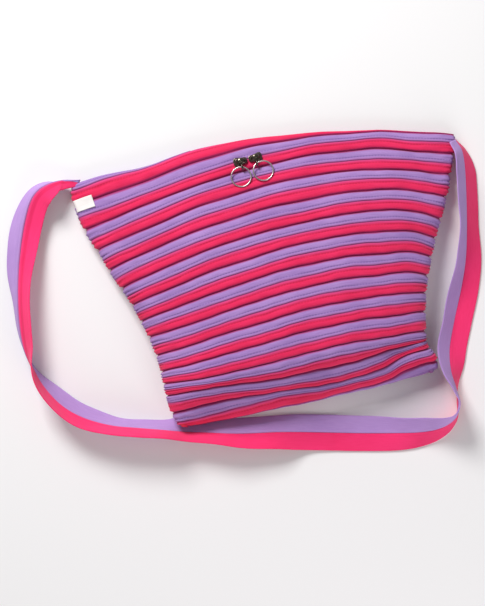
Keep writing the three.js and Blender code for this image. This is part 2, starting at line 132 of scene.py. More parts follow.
def chain_uv(along, across):
    """Places on the woven cloth in metres: along the chain for each row, and across it from the zip."""
    return np.stack(np.broadcast_arrays(along[:, None], across), axis=-1).reshape(-1, 2) * MM


def add_mesh(name, points, faces, material, uv=None):
    """A shaded mesh from points in millimetres, its faces turned to the outside, with uv per point."""
    points = np.asarray(points, float) * MM
    mesh = bpy.data.meshes.new(name)
    mesh.from_pydata(points.tolist(), [], faces)
    mesh.calc_loop_triangles()
    corners = points[np.array([t.vertices for t in mesh.loop_triangles])]
    if np.einsum("ij,ij->i", corners[:, 0], np.cross(corners[:, 1], corners[:, 2])).sum() < 0:
        mesh.flip_normals()
    if uv is not None:
        layer = mesh.uv_layers.new(name="chain")
        index = np.zeros(len(mesh.loops), np.int32)
        mesh.loops.foreach_get("vertex_index", index)
        layer.data.foreach_set("uv", np.asarray(uv, np.float32)[index].ravel())
    mesh.shade_smooth()
    mesh.materials.append(material)
    made = bpy.data.objects.new(name, mesh)
    scene.collection.objects.link(made)
    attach(made, "root")
    return made


def tube_faces(rows, columns, closed=False):
    """Faces of a skin over rows of closed cross-sections, capped at both ends unless it closes on itself."""
    faces = []
    for i in range(rows if closed else rows - 1):
        for j in range(columns):
            a, b = i * columns, (i + 1) % rows * columns
            k = (j + 1) % columns
            faces.append((a + j, a + k, b + k, b + j))
    if not closed:
        faces.append(tuple(range(columns))[::-1])
        faces.append(tuple((rows - 1) * columns + j for j in range(columns)))
    return faces


def node(tree, kind, inputs=(), **settings):
    """A shader node with its settings, its inputs linked where a socket is given."""
    made = tree.nodes.new("ShaderNode" + kind)
    for key, value in settings.items():
        setattr(made, key, value)
    for socket, value in dict(inputs).items():
        if isinstance(value, bpy.types.NodeSocket):
            tree.links.new(value, made.inputs[socket])
        else:
            made.inputs[socket].default_value = value
    return made


def maths(tree, operation, *values):
    return node(tree, "Math", enumerate(values), operation=operation).outputs[0]


def ramp(tree, value, start, end, low=0.0, high=1.0):
    """A soft step of value from low at start to high at end."""
    inputs = {"Value": value, "From Min": start, "From Max": end, "To Min": low, "To Max": high}
    return node(tree, "MapRange", inputs, interpolation_type="SMOOTHSTEP").outputs[0]


def blend(tree, share, a, b):
    """The colour a, turned into b by share."""
    made = node(tree, "Mix", {0: share}, data_type="RGBA")
    for socket, value in ((6, a), (7, b)):
        if isinstance(value, bpy.types.NodeSocket):
            tree.links.new(value, made.inputs[socket])
        else:
            made.inputs[socket].default_value = (*value, 1)
    return made.outputs[2]


def group_tree(name, inputs, outputs):
    """A new node group with value sockets, and its inner ends."""
    tree = bpy.data.node_groups.new(name, "ShaderNodeTree")
    for label in inputs:
        tree.interface.new_socket(label, in_out="INPUT", socket_type="NodeSocketFloat")
    for label in outputs:
        tree.interface.new_socket(label, in_out="OUTPUT", socket_type="NodeSocketFloat")
    return tree, tree.nodes.new("NodeGroupInput"), tree.nodes.new("NodeGroupOutput")


# The weave of zip tape: fine cords along the tape, crossed by a slanting weft, uneven in the yarn
WARP = 0.00115
WEFT = 0.0009
WEFT_LEAN = 2.2  # warps that the weft crosses while it moves on by one of its own steps
YARN_ALONG, YARN_ACROSS = 90.0, 900.0  # how finely the yarn's unevenness is drawn, each way
THREAD_RANGE, THREAD_MIDDLE, CORD_HEIGHT = 0.3, 0.5, 0.3
weave, weave_in, weave_out = group_tree("tape_weave", ["Along", "Across"], ["Threads", "Height", "Yarn"])
along, across_tape = weave_in.outputs[0], weave_in.outputs[1]
warp = maths(weave, "SINE", maths(weave, "MULTIPLY", across_tape, 2 * math.pi / WARP))
slant = maths(weave, "MULTIPLY_ADD", across_tape, 2 * math.pi / (WEFT_LEAN * WARP),
              maths(weave, "MULTIPLY", along, 2 * math.pi / WEFT))
weft = maths(weave, "SINE", slant)
threads = maths(weave, "MULTIPLY_ADD", maths(weave, "MULTIPLY", warp, weft), THREAD_RANGE, THREAD_MIDDLE)
stretch = node(weave, "CombineXYZ", {
    "X": maths(weave, "MULTIPLY", along, YARN_ALONG),
    "Y": maths(weave, "MULTIPLY", across_tape, YARN_ACROSS)})
yarn = node(weave, "TexNoise", {"Vector": stretch.outputs[0], "Scale": 1.0, "Detail": 3.0, "Roughness": 0.6})
weave.links.new(threads, weave_out.inputs["Threads"])
weave.links.new(maths(weave, "MULTIPLY_ADD", warp, CORD_HEIGHT, threads), weave_out.inputs["Height"])
weave.links.new(yarn.outputs[0], weave_out.inputs["Yarn"])

PURPLE = {
    "lit": (0.40, 0.235, 0.555), "worn": (0.305, 0.17, 0.46), "line": (0.16, 0.085, 0.29),
    "edge": (0.34, 0.155, 0.40), "meet": (0.30, 0.055, 0.22),
}
PINK = {
    "lit": (0.80, 0.019, 0.116), "worn": (0.70, 0.011, 0.082), "line": (0.48, 0.004, 0.05),
    "edge": (0.68, 0.05, 0.21), "meet": (0.42, 0.045, 0.19),
}
# The strap's colours, the pink's woven line with them, are painted lighter than the pouch's: painted light
# that lifts the strap out of the bag's shadow
STRAP_PURPLE_PAINTED_LIGHT = PURPLE | {"lit": (0.475, 0.29, 0.65), "worn": (0.40, 0.235, 0.57)}
STRAP_PINK_PAINTED_LIGHT = PINK | {
    "lit": (0.93, 0.03, 0.175), "worn": (0.87, 0.022, 0.14), "line": (0.66, 0.006, 0.085),
}
# How worn the tape looks: what patches, yarn and threads add, what is taken off, and the range to the worn
# colour
WEAR = {"patches": 0.6, "yarn": 0.5, "threads": 0.2, "off": 0.1, "from": 0.3, "to": 0.78}
PATCH_SCALE = 28.0
# The woven line beside the zip: its place, half of its width and how dark it is
STRAP_PINK_LINE = (0.0044, 0.0017, 0.62)
STRAP_PURPLE_LINE = (0.0044, 0.0017, 0.1)
LINE_CORE, LINE_FADE = 0.35, 1.3  # shares of the half width where the line is full, and where it is gone
STITCH = 0.0027
STITCH_GAP = (-0.7, 0.1, 0.5, 1.0)  # where a stitch's wave fades in, and the line's share before and after
TAPE_ROUGH = (0.72, 0.92)
# Shades beside the zip: the colour, where it is full and where it is gone, its share on the strap and on
# the sewn pouch
ZIP_SHADES = [("edge", 0.0012, 0.003, 0.35, 0.8), ("meet", 0.0002, 0.0013, 0.4, 0.85)]


def new_material(name):
    material = bpy.data.materials.new(name)
    material.use_nodes = True
    return material, material.node_tree, material.node_tree.nodes["Principled BSDF"]


def lay_weave(tree):
    """Places along and across the chain, and the weave laid along it."""
    chain = node(tree, "SeparateXYZ", {0: node(tree, "UVMap", uv_map="chain").outputs[0]})
    cloth = node(tree, "Group", node_tree=weave)
    tree.links.new(chain.outputs[0], cloth.inputs["Along"])
    tree.links.new(chain.outputs[1], cloth.inputs["Across"])
    return chain.outputs[0], chain.outputs[1], cloth.outputs


def tape_material(name, colours, woven_line, sewn=None):
    """Woven nylon tape with its woven line. sewn: painted shade of the sewn groove, where it begins and is
    full.
    """
    line_place, line_half, line_share = woven_line
    material, tree, shader = new_material(name)
    lengthwise, from_zip, cloth = lay_weave(tree)
    place = node(tree, "TexCoord").outputs["Object"]
    broad = node(tree, "TexNoise", {"Vector": place, "Scale": PATCH_SCALE, "Detail": 2.0}).outputs[0]
    patches = maths(tree, "MULTIPLY", broad, WEAR["patches"])
    yarns = maths(tree, "MULTIPLY", cloth["Yarn"], WEAR["yarn"])
    tone = maths(tree, "SUBTRACT", maths(tree, "ADD", patches, yarns), WEAR["off"])
    tone = maths(tree, "MULTIPLY_ADD", cloth["Threads"], WEAR["threads"], tone)
    colour = blend(tree, ramp(tree, tone, WEAR["from"], WEAR["to"]), colours["lit"], colours["worn"])
    off_line = maths(tree, "ABSOLUTE", maths(tree, "SUBTRACT", from_zip, line_place))
    line = ramp(tree, off_line, line_half * LINE_CORE, line_half * LINE_FADE, line_share, 0.0)
    if sewn:
        stitch = maths(tree, "SINE", maths(tree, "MULTIPLY", lengthwise, 2 * math.pi / STITCH))
        line = maths(tree, "MULTIPLY", line, ramp(tree, stitch, *STITCH_GAP))
    colour = blend(tree, line, colour, colours["line"])
    for tint, full, gone, on_strap, on_pouch in ZIP_SHADES:
        shade = ramp(tree, from_zip, full, gone, on_pouch if sewn else on_strap, 0.0)
        colour = blend(tree, shade, colour, colours[tint])
    if sewn:
        # The sewn groove is painted dark maroon: painted shade deep in the seam, on the purple tape also a
        # painted reflection of the pink
        groove_painted_shade, begins, full = sewn
        colour = blend(tree, ramp(tree, from_zip, begins, full), colour, groove_painted_shade)
    tree.links.new(colour, shader.inputs["Base Color"])
    tree.links.new(ramp(tree, cloth["Yarn"], 0.2, 0.8, *TAPE_ROUGH), shader.inputs["Roughness"])
    shader.inputs["Specular IOR Level"].default_value = 0.22
    shader.inputs["Sheen Weight"].default_value = 0.12
    shader.inputs["Sheen Roughness"].default_value = 0.6
    bump = node(tree, "Bump", {"Strength": 0.35, "Distance": 0.00025, "Height": cloth["Height"]})
    tree.links.new(bump.outputs[0], shader.inputs["Normal"])
    return material


route_places = travelled(STRAP_ROUTE[:, :2])
strap_at = np.linspace(-STRAP_TUCK, route_places[-1] + STRAP_TUCK, STRAP_ROWS)
strap = smooth(route_places, STRAP_ROUTE, strap_at)
purple_lie, pink_lie, pleated, raised = strap[:, 2:].T
from_end = np.minimum(strap_at - SWAY_FROM, route_places[-1] - SWAY_FROM - strap_at)
sway = np.clip(from_end / SWAY_GROWS, 0, 1)


def tape_turn(lie, waves):
    """Where a tape points, in radians, with its waves where it lies loose."""
    wave = sum(size * np.sin(strap_at / length + start) for size, length, start in waves)
    return np.radians(lie + sway * wave)


purple_turn, pink_turn = tape_turn(purple_lie, PURPLE_WAVES), tape_turn(pink_lie, PINK_WAVES)
strap_width = np.clip(pleated, LEAST_WIDTH, 1) * STRAP_TAPE
drops = [STRAP_HALF * np.abs(np.cos(a)) - strap_width * np.sin(a) for a in (purple_turn, pink_turn)]
seam_z = FLOOR_CLEAR + raised + np.maximum(STRAP_HALF, np.maximum(*drops))
strap_seam = np.column_stack([strap[:, :2], seam_z])
strap_ahead = np.gradient(strap[:, :2], axis=0)
strap_ahead /= np.linalg.norm(strap_ahead, axis=1)[:, None]
strap_inward = np.column_stack([-strap_ahead[:, 1], strap_ahead[:, 0], np.zeros(STRAP_ROWS)])
strap_ahead = np.column_stack([strap_ahead, np.zeros(STRAP_ROWS)])
strap_lean = strap_ahead * np.interp(strap_at, [0, SLANT_GONE], [SLANT, 0])[:, None]
fold = np.degrees(np.arccos(np.cos(pink_turn - purple_turn)))
coil_room = np.clip((fold - FOLD_SHUT) / FOLD_OPENS, 0, 1)[:, None]


def strap_tape(colour, turn, crease_depth, coil_side, material):
    """One tape of the strap, a flat cord along its own middle. coil_side: face with the coil, 1 or -1."""
    reach = strap_inward * np.cos(turn)[:, None] + UP * np.sin(turn)[:, None] + strap_lean
    face = -strap_inward * np.sin(turn)[:, None] + UP * np.cos(turn)[:, None]
    out = STRAP_SECTION[:, 0] * (strap_width / STRAP_TAPE)[:, None]
    coil_share = SHUT_COIL_SHARE + (1 - SHUT_COIL_SHARE) * coil_room
    thick = np.minimum(STRAP_SECTION[:, 1], SHUT_HALF + (1 - SHUT_HALF) * coil_room)
    thick = thick * np.where(STRAP_SECTION[:, 0] < COIL_REACH, coil_share, 1)
    bowl = 1 - (2 * out / STRAP_TAPE - 1) ** 2
    cup = CUP_DEPTH * (np.sin(strap_at / CUP_LENGTH) * sway)[:, None] * bowl
    crease = crease_depth / (1 + np.exp((strap_at - CREASE_AT) / CREASE_WIDE))[:, None]
    sides = [
        strap_seam[:, None] + reach[:, None] * out[..., None]
        + face[:, None] * (cup - crease + side * np.minimum(thick, most))[..., None]
        for side, most in ((coil_side, COIL_HALF), (-coil_side, PLAIN_HALF))
    ]
    rings = np.concatenate([sides[0], sides[1][:, ::-1]], axis=1)
    rings[..., 2] = np.maximum(rings[..., 2], LOWEST)
    columns = rings.shape[1]
    # The plain face is unrolled round the selvedge, so that the woven line is on the coil's face alone
    from_zip = np.concatenate([STRAP_SECTION[:, 0], 2 * STRAP_TAPE - STRAP_SECTION[::-1, 0]])
    middle = strap_seam + reach * strap_width[:, None] / 2
    length = travelled(middle)
    made = add_mesh(f"strap_{colour}", rings.reshape(-1, 3), tube_faces(STRAP_ROWS, columns), material,
                    chain_uv(length, from_zip))
    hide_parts(f"strap_{colour}_tape")


# Both strap tapes take the lighter colours, with painted light in them
strap_purple_nylon = tape_material("strap_purple_nylon", STRAP_PURPLE_PAINTED_LIGHT, STRAP_PURPLE_LINE)
strap_tape("purple", purple_turn, 0, -1, strap_purple_nylon)
strap_pink_nylon = tape_material("strap_pink_nylon", STRAP_PINK_PAINTED_LIGHT, STRAP_PINK_LINE)
strap_tape("pink", pink_turn, PINK_CREASE, 1, strap_pink_nylon)

# Pouch
# The pouch is the same zip chain wound in fifteen turns round a flattened, tapering form. Each turn is
# sewn to the next along the tape edges, so that it stands up as a rib over a deep seam, with the closed
# coil hidden under its crest. It is made here as two unbroken strips of nylon tape, lavender and hot pink.
TURN_PITCH = 19.3
TURN_COUNT = 15
HALVED_TURNS = range(2, 13)  # turns of which the frame has a left and a right half
LOOP_ROWS = 210
LEAST_STRIP = 0.02  # a strip ends where the seam leaves less of it, in turns
TAPE_WALL = 1.6
FLOOR_WALL = 0.7  # lowest height of the inside
BACK_ROUND = 6  # the dome's exponent on the back
END_FADE = 0.035  # share of the wall in which the ribs sink to the top and bottom seams
SAG = {"x": -108, "depth": 5.4, "width": 38, "reach": 0.16}  # slack of the mouth at its left
# From the top seam to the bottom seam: share of the wall, the left edge's x and y, y on the centre line,
# the right edge's x and y, heights of the front, the back and the edges, and the dome's exponent
SECTIONS = np.array([
    [0, -166, 109.5, 124.2, 173.2, 102, 5.3, 5.1, 5.2, 6],
    [0.04, -171.9, 100.5, 113.6, 171.4, 92.5, 8.6, 4, 6.4, 4],
    [0.1, -169, 80, 98, 166, 79, 12, 3.4, 8, 2.8],
    [0.25, -151, 34, 62, 155, 46, 23, 3.2, 11, 2.4],
    [0.45, -129, -16, 9, 136, 2, 35, 3.2, 14, 2.4],
    [0.65, -116, -61, -43, 122.5, -43, 43, 3.2, 17, 2.4],
    [0.78, -114, -86, -75.5, 118.5, -73, 44, 3.2, 19, 2.4],
    [0.85, -113, -97, -92, 121.5, -87, 34.5, 3.3, 18, 2.6],
    [0.925, -110, -111, -105.5, 125, -96, 22, 4, 16, 3.4],
    [0.965, -107, -118, -113, 125, -101.5, 15, 6.5, 14.5, 4.6],
    [1.0, -101, -123.5, -116, 120, -107.5, 8.9, 8.5, 12.5, 6],
])
# The turns that meet the top and the bottom seam at the left edge, the front's middle and the right edge
TOP_TURN = (0.1, 0.67, 0.95)
BOTTOM_TURN = (14, 14.2, 14.5)
# How unevenly the turns lie: place down the wall if all were alike, then how much further down it is, as a
# share of the wall, at WIND_SIDES from the left edge (-1) to the right one (1)
WIND_SIDES = np.array([-1, -0.8, -0.3, 0.3, 0.6, 0.85, 1])
WIND = np.array([
    [0, 0, 0, 0, 0, 0, 0, 0],
    [0.06, 0.01, 0.02, 0.015, -0.01, -0.015, -0.005, -0.005],
    [0.15, 0.005, 0.015, 0.01, -0.005, -0.005, 0, 0.005],
    [0.27, -0.005, 0.005, 0.015, 0.015, 0.005, 0.01, 0.025],
    [0.4, -0.01, 0, 0.01, 0.01, 0.01, 0.01, 0.03],
    [0.55, -0.02, -0.005, 0.01, 0.01, 0.015, 0.015, 0.025],
    [0.7, -0.015, 0, 0.01, 0.01, 0.015, 0.02, 0.02],
    [0.78, -0.025, -0.01, 0.005, 0.005, 0.01, 0.015, 0.015],
    [0.84, -0.035, -0.035, -0.01, 0, 0, -0.015, -0.03],
    [0.9, -0.03, -0.04, -0.02, 0.005, -0.005, -0.045, -0.05],
    [0.95, -0.015, -0.02, -0.03, -0.01, -0.015, -0.045, -0.03],
    [1, 0, 0, 0, 0, 0, 0, 0],
])
# Half of a rib, from the sewn edge to the zip: distance in turns and height over the tape's wall
RIB = np.array([
    [0, -0.35], [0.012, 0.05], [0.027, 0.6], [0.045, 1.12], [0.07, 1.62], [0.105, 2.1], [0.15, 2.42],
    [0.2, 2.55], [0.25, 2.52], [0.29, 2.42], [0.318, 2.22], [0.338, 2.12], [0.355, 2.2], [0.375, 2.42],
    [0.405, 2.68], [0.435, 2.78], [0.465, 2.64], [0.487, 2.25], [0.5, 1.8],
])
RIB_INSIDE = np.array([0.5, 0.3, 0.1, 0.0])
# Slack and puckers of the sewn cloth: length and size of each pair of waves, how much they push along x, y
# and z, and the height at which they begin and in which they grow
CLOTH_WAVES = [(95, 0.2), (70, 0.24), (52, 0.26), (38, 0.26), (27, 0.22), (20, 0.18), (14, 0.11)]
CLOTH_PUSH = (0.6, 0.7, 1)
CLOTH_SEED = 11
SLACK_FROM, SLACK_GROWS = 2, 7
# Unevenness along the chain: waves in one turn, then that of the zip's line, the sewn line, a rib's fullness
# and its puckers
SLOW_WAVES, FINE_WAVES = (2.37, 4.71, 8.13, 13.6), (11.3, 18.7, 27.9, 36.1)
ZIP_WANDER = {"size": 0.011, "seed": 3}
SEWN_WANDER = {"size": 0.013, "seed": 4}
FULLNESS = {"size": 0.07, "seed": 5}
PUCKERS = {"size": 0.55, "seed": 6, "each_turn": FINE_WAVES}
# The pleats into which the tape is drawn as it bends round the side edges
PLEAT = {"from": 0.85, "power": 1.5, "count": 2.6, "drift": 0.37, "depth": 0.42}
# Where the cloth of the front is pressed in: under the pull rings, and in the fold at the lower right
HOLLOWS = [
    {"place": (17, 78.5), "long": 24, "wide": 5, "depth": 1.3, "slope": math.radians(3)},
    {"place": (92, -84), "long": 24, "wide": 9, "depth": 6.5, "slope": math.radians(5.5)},
]
FRONT_FROM = 9  # height over the floor from which the wall counts as the front
POUCH_LINE = (0.00315, 0.0008, 0.6)
# Painted shade of the deep sewn groove, dark maroon, on the purple also a painted reflection of the pink:
# its colour, and where it begins and is full, from the zip
SEWN_GROOVE_PAINTED_SHADE = ((0.34, 0.016, 0.13), 0.0075, 0.0094)


def across_bag(three, side):
    """The parabola through the values at the left edge, the middle and the right edge."""
    left, middle, right = three
    return middle + side * (right - left) / 2 + side * side * ((left + right) / 2 - middle)


def wall_point(loop, share):
    """The pouch's wall. loop: 0 and 1 are the left edge, 0.25 the front's middle, 0.5 the right edge."""
    left_x, left_y, middle, right_x, right_y, front, back, edge, power = np.moveaxis(
        smooth(SECTIONS[:, 0], SECTIONS[:, 1:], share), -1, 0)
    side = -np.cos(2 * np.pi * loop)
    on_front = np.sin(2 * np.pi * loop) >= 0
    dome = np.sqrt(np.maximum(0, 1 - np.abs(side) ** np.where(on_front, power, BACK_ROUND)))
    x = (left_x + right_x) / 2 + side * (right_x - left_x) / 2
    slack = SAG["depth"] * np.exp(-(((x - SAG["x"]) / SAG["width"]) ** 2))
    slack *= np.maximum(0, 1 - share / SAG["reach"]) ** 2
    y = across_bag((left_y, middle, right_y), side) - slack
    return np.stack([x, y, edge + (np.where(on_front, front, back) - edge) * dome], axis=-1)


def wall_normal(loop, share):
    """The way out of the wall."""
    step = 0.002
    round_loop = wall_point(loop + step, share) - wall_point(loop - step, share)
    down = wall_point(loop, np.minimum(1, share + step)) - wall_point(loop, np.maximum(0, share - step))
    out = np.cross(down, round_loop)
    return out / np.linalg.norm(out, axis=-1)[..., None]


def turn_at_seam(three, loop):
    """The turn that meets the top or bottom seam. It climbs by one over the whole way round."""
    side = -np.cos(2 * np.pi * loop)
    behind = three[2] + (three[0] + 1 - three[2]) * (1 - side) / 2
    return np.where(loop <= 0.5, across_bag(three, side), behind)


def share_of_turn(loop, turn):
    """How far down the wall a turn lies, as a share of the wall."""
    top, bottom = turn_at_seam(TOP_TURN, loop), turn_at_seam(BOTTOM_TURN, loop)
    even = np.clip((turn - top) / (bottom - top), 0, 1)
    shares = smooth(WIND_SIDES, np.eye(len(WIND_SIDES)), -np.cos(2 * np.pi * loop))
    further = (smooth(WIND[:, 0], WIND[:, 1:], even) * shares).sum(axis=-1)
    return np.clip(even + further, 0, 1)


def unevenness(points):
    """Slack and puckers of the sewn cloth, in millimetres, none where it lies on the floor."""
    r = np.random.default_rng(CLOTH_SEED)
    moved = np.zeros_like(points)
    for length, size in CLOTH_WAVES:
        for _ in range(2):
            heading = r.normal(size=3)
            heading /= np.linalg.norm(heading)
            push = r.normal(size=3) * CLOTH_PUSH
            push /= np.linalg.norm(push)
            wave = np.sin(points @ heading * 2 * np.pi / length + r.uniform(0, 2 * np.pi))
            moved += push * size * wave[..., None]
    return moved * np.clip((points[..., 2:] - SLACK_FROM) / SLACK_GROWS, 0, 1)


def wander(travel, size, seed, each_turn=SLOW_WAVES):
    """An uneven wave along the chain. travel counts the turns wound, each_turn the waves in one turn."""
    r = np.random.default_rng(seed)
    total = 0
    for waves in each_turn:
        total = total + np.sin(2 * np.pi * (waves * travel + r.uniform())) / waves**0.5
    return size * total


def pressed_in(point, hollow):
    """How far a hollow, which lies along its slope, takes a point of the front inwards."""
    dx, dy = point[..., 0] - hollow["place"][0], point[..., 1] - hollow["place"][1]
    lengthwise = dx * math.cos(hollow["slope"]) + dy * math.sin(hollow["slope"])
    crosswise = dy * math.cos(hollow["slope"]) - dx * math.sin(hollow["slope"])
    near = np.exp(-((lengthwise / hollow["long"]) ** 2) - (crosswise / hollow["wide"]) ** 2)
    return np.where(point[..., 2] > FRONT_FROM, hollow["depth"] * near, 0)


def pouch_strip(colour, solid_count, material):
    """All turns of one tape as one strip, wound from the bottom seam up to the top seam."""
    is_purple = colour == "purple"
    turns = np.repeat(np.arange(TURN_COUNT)[::-1], LOOP_ROWS).astype(float)
    loop = np.tile(np.arange(LOOP_ROWS) / LOOP_ROWS, TURN_COUNT)
    zip_line = turns + 0.5 + wander(loop - turns, **ZIP_WANDER)
    sewn_line = turns + (0 if is_purple else 1)
    sewn_line = sewn_line + wander(loop - sewn_line, **SEWN_WANDER)
    top, bottom = turn_at_seam(TOP_TURN, loop), turn_at_seam(BOTTOM_TURN, loop)
    first, last = np.sort([zip_line, sewn_line], axis=0)
    first, last = np.maximum(first, top), np.minimum(last, bottom)
    kept = last - first > LEAST_STRIP
    loop, turns, first, last = loop[kept], turns[kept], first[kept], last[kept]
    zip_line, sewn_line = zip_line[kept], sewn_line[kept]

    def skin(places, offset):
        """Points over the wall, with the rib if there is an offset, and their way gone towards the zip."""
        places = places if is_purple else 0.5 - places
        level = first[:, None] + (last - first)[:, None] * 2 * places
        rounds = np.broadcast_to(loop[:, None], level.shape)
        share = share_of_turn(rounds, level)
        gone = np.clip((level - sewn_line[:, None]) / (zip_line - sewn_line)[:, None], 0, 1) / 2
        fade = np.clip(np.minimum(share, 1 - share) / END_FADE, 0, 1) ** 0.5
        full = 1 + wander(loop - turns, **FULLNESS)[:, None]
        pucker = wander(loop - sewn_line, **PUCKERS)[:, None] * (1 - 2 * gone)
        rise = np.interp(gone * (1 + pucker), RIB[:, 0], RIB[:, 1])
        to_edge = np.clip((np.abs(np.cos(2 * np.pi * rounds)) - PLEAT["from"]) / (1 - PLEAT["from"]), 0, 1)
        pleat = np.sin(2 * np.pi * (PLEAT["count"] * 2 * gone + PLEAT["drift"] * (loop - turns)[:, None]))
        rise = rise + PLEAT["depth"] * to_edge ** PLEAT["power"] * (pleat - 1) * np.clip(rise, 0, 1)
        rise = np.where(rise > 0, rise * full * fade, rise) if offset else 0
        point, normal = wall_point(rounds, share), wall_normal(rounds, share)
        pressed = sum(pressed_in(point, hollow) for hollow in HOLLOWS)
        point = point + normal * (offset + rise - pressed)[..., None]
        return point + unevenness(point), gone

    outside, gone = skin(RIB[:, 0], TAPE_WALL)
    inside, gone_inside = skin(RIB_INSIDE, 0.0)
    outside[..., 2] = np.maximum(outside[..., 2], 0)
    inside[..., 2] = np.maximum(inside[..., 2], FLOOR_WALL)
    rings = np.concatenate([outside, inside], axis=1)
    rows, columns = rings.shape[:2]
    length = travelled(outside[:, len(RIB) // 2])
    from_zip = (0.5 - np.concatenate([gone, gone_inside], axis=1)) * TURN_PITCH
    made = add_mesh(f"pouch_{colour}", rings.reshape(-1, 3), tube_faces(rows, columns), material,
                    chain_uv(length, from_zip))
    for number in range(1, solid_count + 1):
        for half in ("_left", "_right") if number in HALVED_TURNS else ("",):
            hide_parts(f"{colour}_tape_turn_{number:02d}{half}")


pouch_purple_nylon = tape_material("pouch_purple_nylon", PURPLE, POUCH_LINE, SEWN_GROOVE_PAINTED_SHADE)
pouch_strip("purple", TURN_COUNT, pouch_purple_nylon)
pouch_pink_nylon = tape_material("pouch_pink_nylon", PINK, POUCH_LINE, SEWN_GROOVE_PAINTED_SHADE)
pouch_strip("pink", TURN_COUNT - 1, pouch_pink_nylon)

# Zip sliders
# Two die-cast sliders, plated gunmetal, close the zip in the second turn and meet nose to nose near the
# middle. Each has a waisted, domed plate, a crown that bridges it and, on a tongue, an eye for its ring.
ZIP_LEVEL = 1.55  # the zip's line, in turns
ZIP_CREST = 2.75
SLIDER_LIFT = 0.5
# For each slider: name, place round the turn, which way the nose points, and the swing of its ring
PULLS = [("left", 0.2327, 1, -0.38), ("right", 0.2455, -1, 0.44)]
SLIDER_END = 6.25
# Half of the plate's outline, wide at the tail, narrow at the nose: share of SLIDER_END, and half width
SLIDER_SIDE = np.array([
    [-1, 1.2], [-0.97, 2.7], [-0.85, 3.9], [-0.62, 4.3], [-0.3, 3.918], [0.05, 3.5], [0.4, 3.1], [0.68, 3.1],
    [0.88, 2.5], [0.97, 1.7], [1, 0.8],
])
PLATE_HEIGHT, PLATE_EDGE = 1.15, 0.45
DOME = {"foot": 1, "rise": 1.8, "share": 0.88, "power": 0.7, "closed": 0.97, "steps": 9}
CROWN = {"half": 3.35, "foot": 1.9, "rise": 3.0, "power": 0.8, "steps": 25}
CROWN_THICK, CROWN_WIDE, CROWN_SEGMENTS = 0.8, 2.05, 18  # half sizes of the crown's bar
EYE_DROP, EYE_LIFT, EYE_RADIUS = 6.0, 2.9, 2.5
EYE_WIRE, EYE_STEPS, EYE_SEGMENTS = 0.65, 40, 12
# The tongue that joins the eye to the crown: y and z of its ends, and its section
TONGUE_FROM, TONGUE_TO, TONGUE_STEPS = (-3.8, 2.9), (0.6, 3.5), 9
TONGUE_SECTION = [(-0.9, -0.4), (0.9, -0.4), (1.05, 0), (0.9, 0.4), (-0.9, 0.4), (-1.05, 0)]
TARNISH_SCALE, GRAIN_SCALE = 420.0, 2600.0
GRAIN_ROUGH = 0.18  # what the scratches add to the roughness


def metal_material(name, colour, rough, scuff):
    """Plated metal: tarnish in patches, fine scratches in the roughness."""
    material, tree, shader = new_material(name)
    place = node(tree, "TexCoord").outputs["Object"]
    patches = node(tree, "TexNoise", {"Vector": place, "Scale": TARNISH_SCALE, "Detail": 4.0}).outputs[0]
    grain = node(tree, "TexNoise", {"Vector": place, "Scale": GRAIN_SCALE, "Detail": 2.0}).outputs[0]
    tree.links.new(blend(tree, ramp(tree, patches, 0.4, 0.75), colour, scuff), shader.inputs["Base Color"])
    tree.links.new(ramp(tree, grain, 0.3, 0.7, rough, rough + GRAIN_ROUGH), shader.inputs["Roughness"])
    shader.inputs["Metallic"].default_value = 1.0
    bump = node(tree, "Bump", {"Strength": 0.12, "Distance": 0.00005, "Height": grain})
    tree.links.new(bump.outputs[0], shader.inputs["Normal"])
    return material


def zip_frame(loop):
    """A frame on the crest of the zip: x along the turn, z out of the wall."""
    def crest(at):
        share = share_of_turn(np.array(at), np.array(ZIP_LEVEL))
        point, out = wall_point(np.array(at), share), wall_normal(np.array(at), share)
        return point + out * (TAPE_WALL + ZIP_CREST), out

    step = 0.004
    origin, out = crest(loop)
    ahead = crest(loop + step)[0] - origin
    up = np.cross(out, ahead)
    up /= np.linalg.norm(up)
    return origin + unevenness(origin), np.stack([np.cross(up, out), up, out], axis=1)


def rounded_plate(outline, height, edge, steps=4):
    """Rings of a flat plate with rounded edges, from its underside to its top."""
    centre = outline.mean(axis=0)
    rings = []
    away = (outline - centre) / np.linalg.norm(outline - centre, axis=1)[:, None]
    for i in range(2 * steps + 2):
        below = i <= steps
        a = (i if below else 2 * steps + 1 - i) / steps * math.pi / 2
        flat = outline - away * edge * (1 - math.sin(a))
        z = edge * (1 - math.cos(a))
        rings.append(np.column_stack([flat, np.full(len(flat), z if below else height - z)]))
    return np.array(rings)


def bent_wire(line, radius, segments, closed, wide=None):
    """Rings of a wire along a line that lies in a plane, round, or as wide as wide across that plane."""
    line = np.asarray(line, float)
    if closed:
        ahead = np.roll(line, -1, axis=0) - np.roll(line, 1, axis=0)
    else:
        ahead = np.gradient(line, axis=0)
    ahead /= np.linalg.norm(ahead, axis=1)[:, None]
    around = np.linspace(0, 2 * np.pi, segments, endpoint=False)
    normal = np.linalg.svd(line - line.mean(axis=0))[2][2]
    side = np.cross(normal, ahead)
    reach = (wide or radius) * np.cos(around)
    return line[:, None] + normal * reach[:, None] + side[:, None] * (radius * np.sin(around))[:, None]


